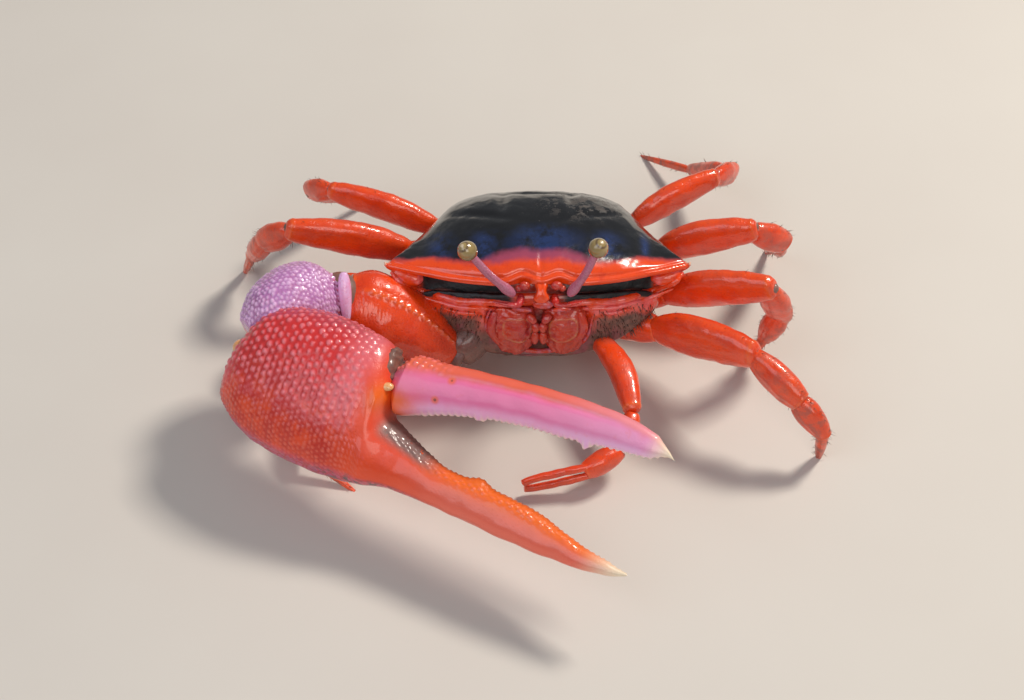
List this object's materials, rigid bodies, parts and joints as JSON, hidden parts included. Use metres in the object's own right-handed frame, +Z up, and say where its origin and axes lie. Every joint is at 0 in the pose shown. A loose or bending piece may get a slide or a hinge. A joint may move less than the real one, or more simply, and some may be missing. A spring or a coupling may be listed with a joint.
{
  "type": "fiddler crab",
  "caption": "Life-size male fiddler crab standing on its leg tips, giant tubercled claw held across the front and eyestalks raised.",
  "frame": {"origin": "middle of the footprint of the whole crab, on the floor that its leg tips stand on", "axes": "+X to the crab's own left, -Y the way it faces, +Z up"},
  "size_m": [0.0721, 0.079, 0.0283],
  "materials": {
    "black_shell": "glossy near-black upper shell, with an orange-red band along the front margin",
    "flame_shell": "glossy orange-red leg shell with fine speckle",
    "lower_shell": "brown-pink shell of the face and underside, with short bristles",
    "claw_shell": "red-pink claw shell covered in pale tubercles",
    "pink_shell": "smooth pink shell of the movable finger, paler towards its teeth and tip",
    "lilac_shell": "lilac wrist shell with white-pink tubercles",
    "stalk_shell": "mauve-pink eyestalks",
    "eye": "olive-gold cornea with a fine swirl"
  },
  "bodies": {
    "root": {"abdomen": "lower_shell", "antenna_l": "flame_shell", "antenna_r": "flame_shell", "carapace": "black_shell", "claw_carpus": "lilac_shell", "claw_finger": "pink_shell", "claw_ischium": "lower_shell", "claw_merus": "flame_shell", "claw_palm": "claw_shell", "eye_l": "eye", "eye_r": "eye", "eyestalk_l": "stalk_shell", "eyestalk_r": "stalk_shell", "leg_l1_base": "flame_shell", "leg_l1_carpus": "flame_shell", "leg_l1_dactyl": "flame_shell", "leg_l1_merus": "flame_shell", "leg_l1_propodus": "flame_shell", "leg_l2_base": "flame_shell", "leg_l2_carpus": "flame_shell", "leg_l2_dactyl": "flame_shell", "leg_l2_merus": "flame_shell", "leg_l2_propodus": "flame_shell", "leg_l3_base": "flame_shell", "leg_l3_carpus": "flame_shell", "leg_l3_dactyl": "flame_shell", "leg_l3_merus": "flame_shell", "leg_l3_propodus": "flame_shell", "leg_l4_base": "flame_shell", "leg_l4_carpus": "flame_shell", "leg_l4_dactyl": "flame_shell", "leg_l4_merus": "flame_shell", "leg_l4_propodus": "flame_shell", "leg_r1_base": "flame_shell", "leg_r1_carpus": "flame_shell", "leg_r1_dactyl": "flame_shell", "leg_r1_merus": "flame_shell", "leg_r1_propodus": "flame_shell", "leg_r2_base": "flame_shell", "leg_r2_carpus": "flame_shell", "leg_r2_dactyl": "flame_shell", "leg_r2_merus": "flame_shell", "leg_r2_propodus": "flame_shell", "leg_r3_base": "flame_shell", "leg_r3_carpus": "flame_shell", "leg_r3_dactyl": "flame_shell", "leg_r3_merus": "flame_shell", "leg_r3_propodus": "flame_shell", "leg_r4_base": "flame_shell", "leg_r4_carpus": "flame_shell", "leg_r4_dactyl": "flame_shell", "leg_r4_merus": "flame_shell", "leg_r4_propodus": "flame_shell", "maxilliped_l": "lower_shell", "maxilliped_r": "lower_shell", "small_claw_arm": "flame_shell", "small_claw_finger": "flame_shell", "small_claw_palm": "flame_shell", "small_claw_wrist": "flame_shell", "thorax": "lower_shell"}
  },
  "joints": []
}
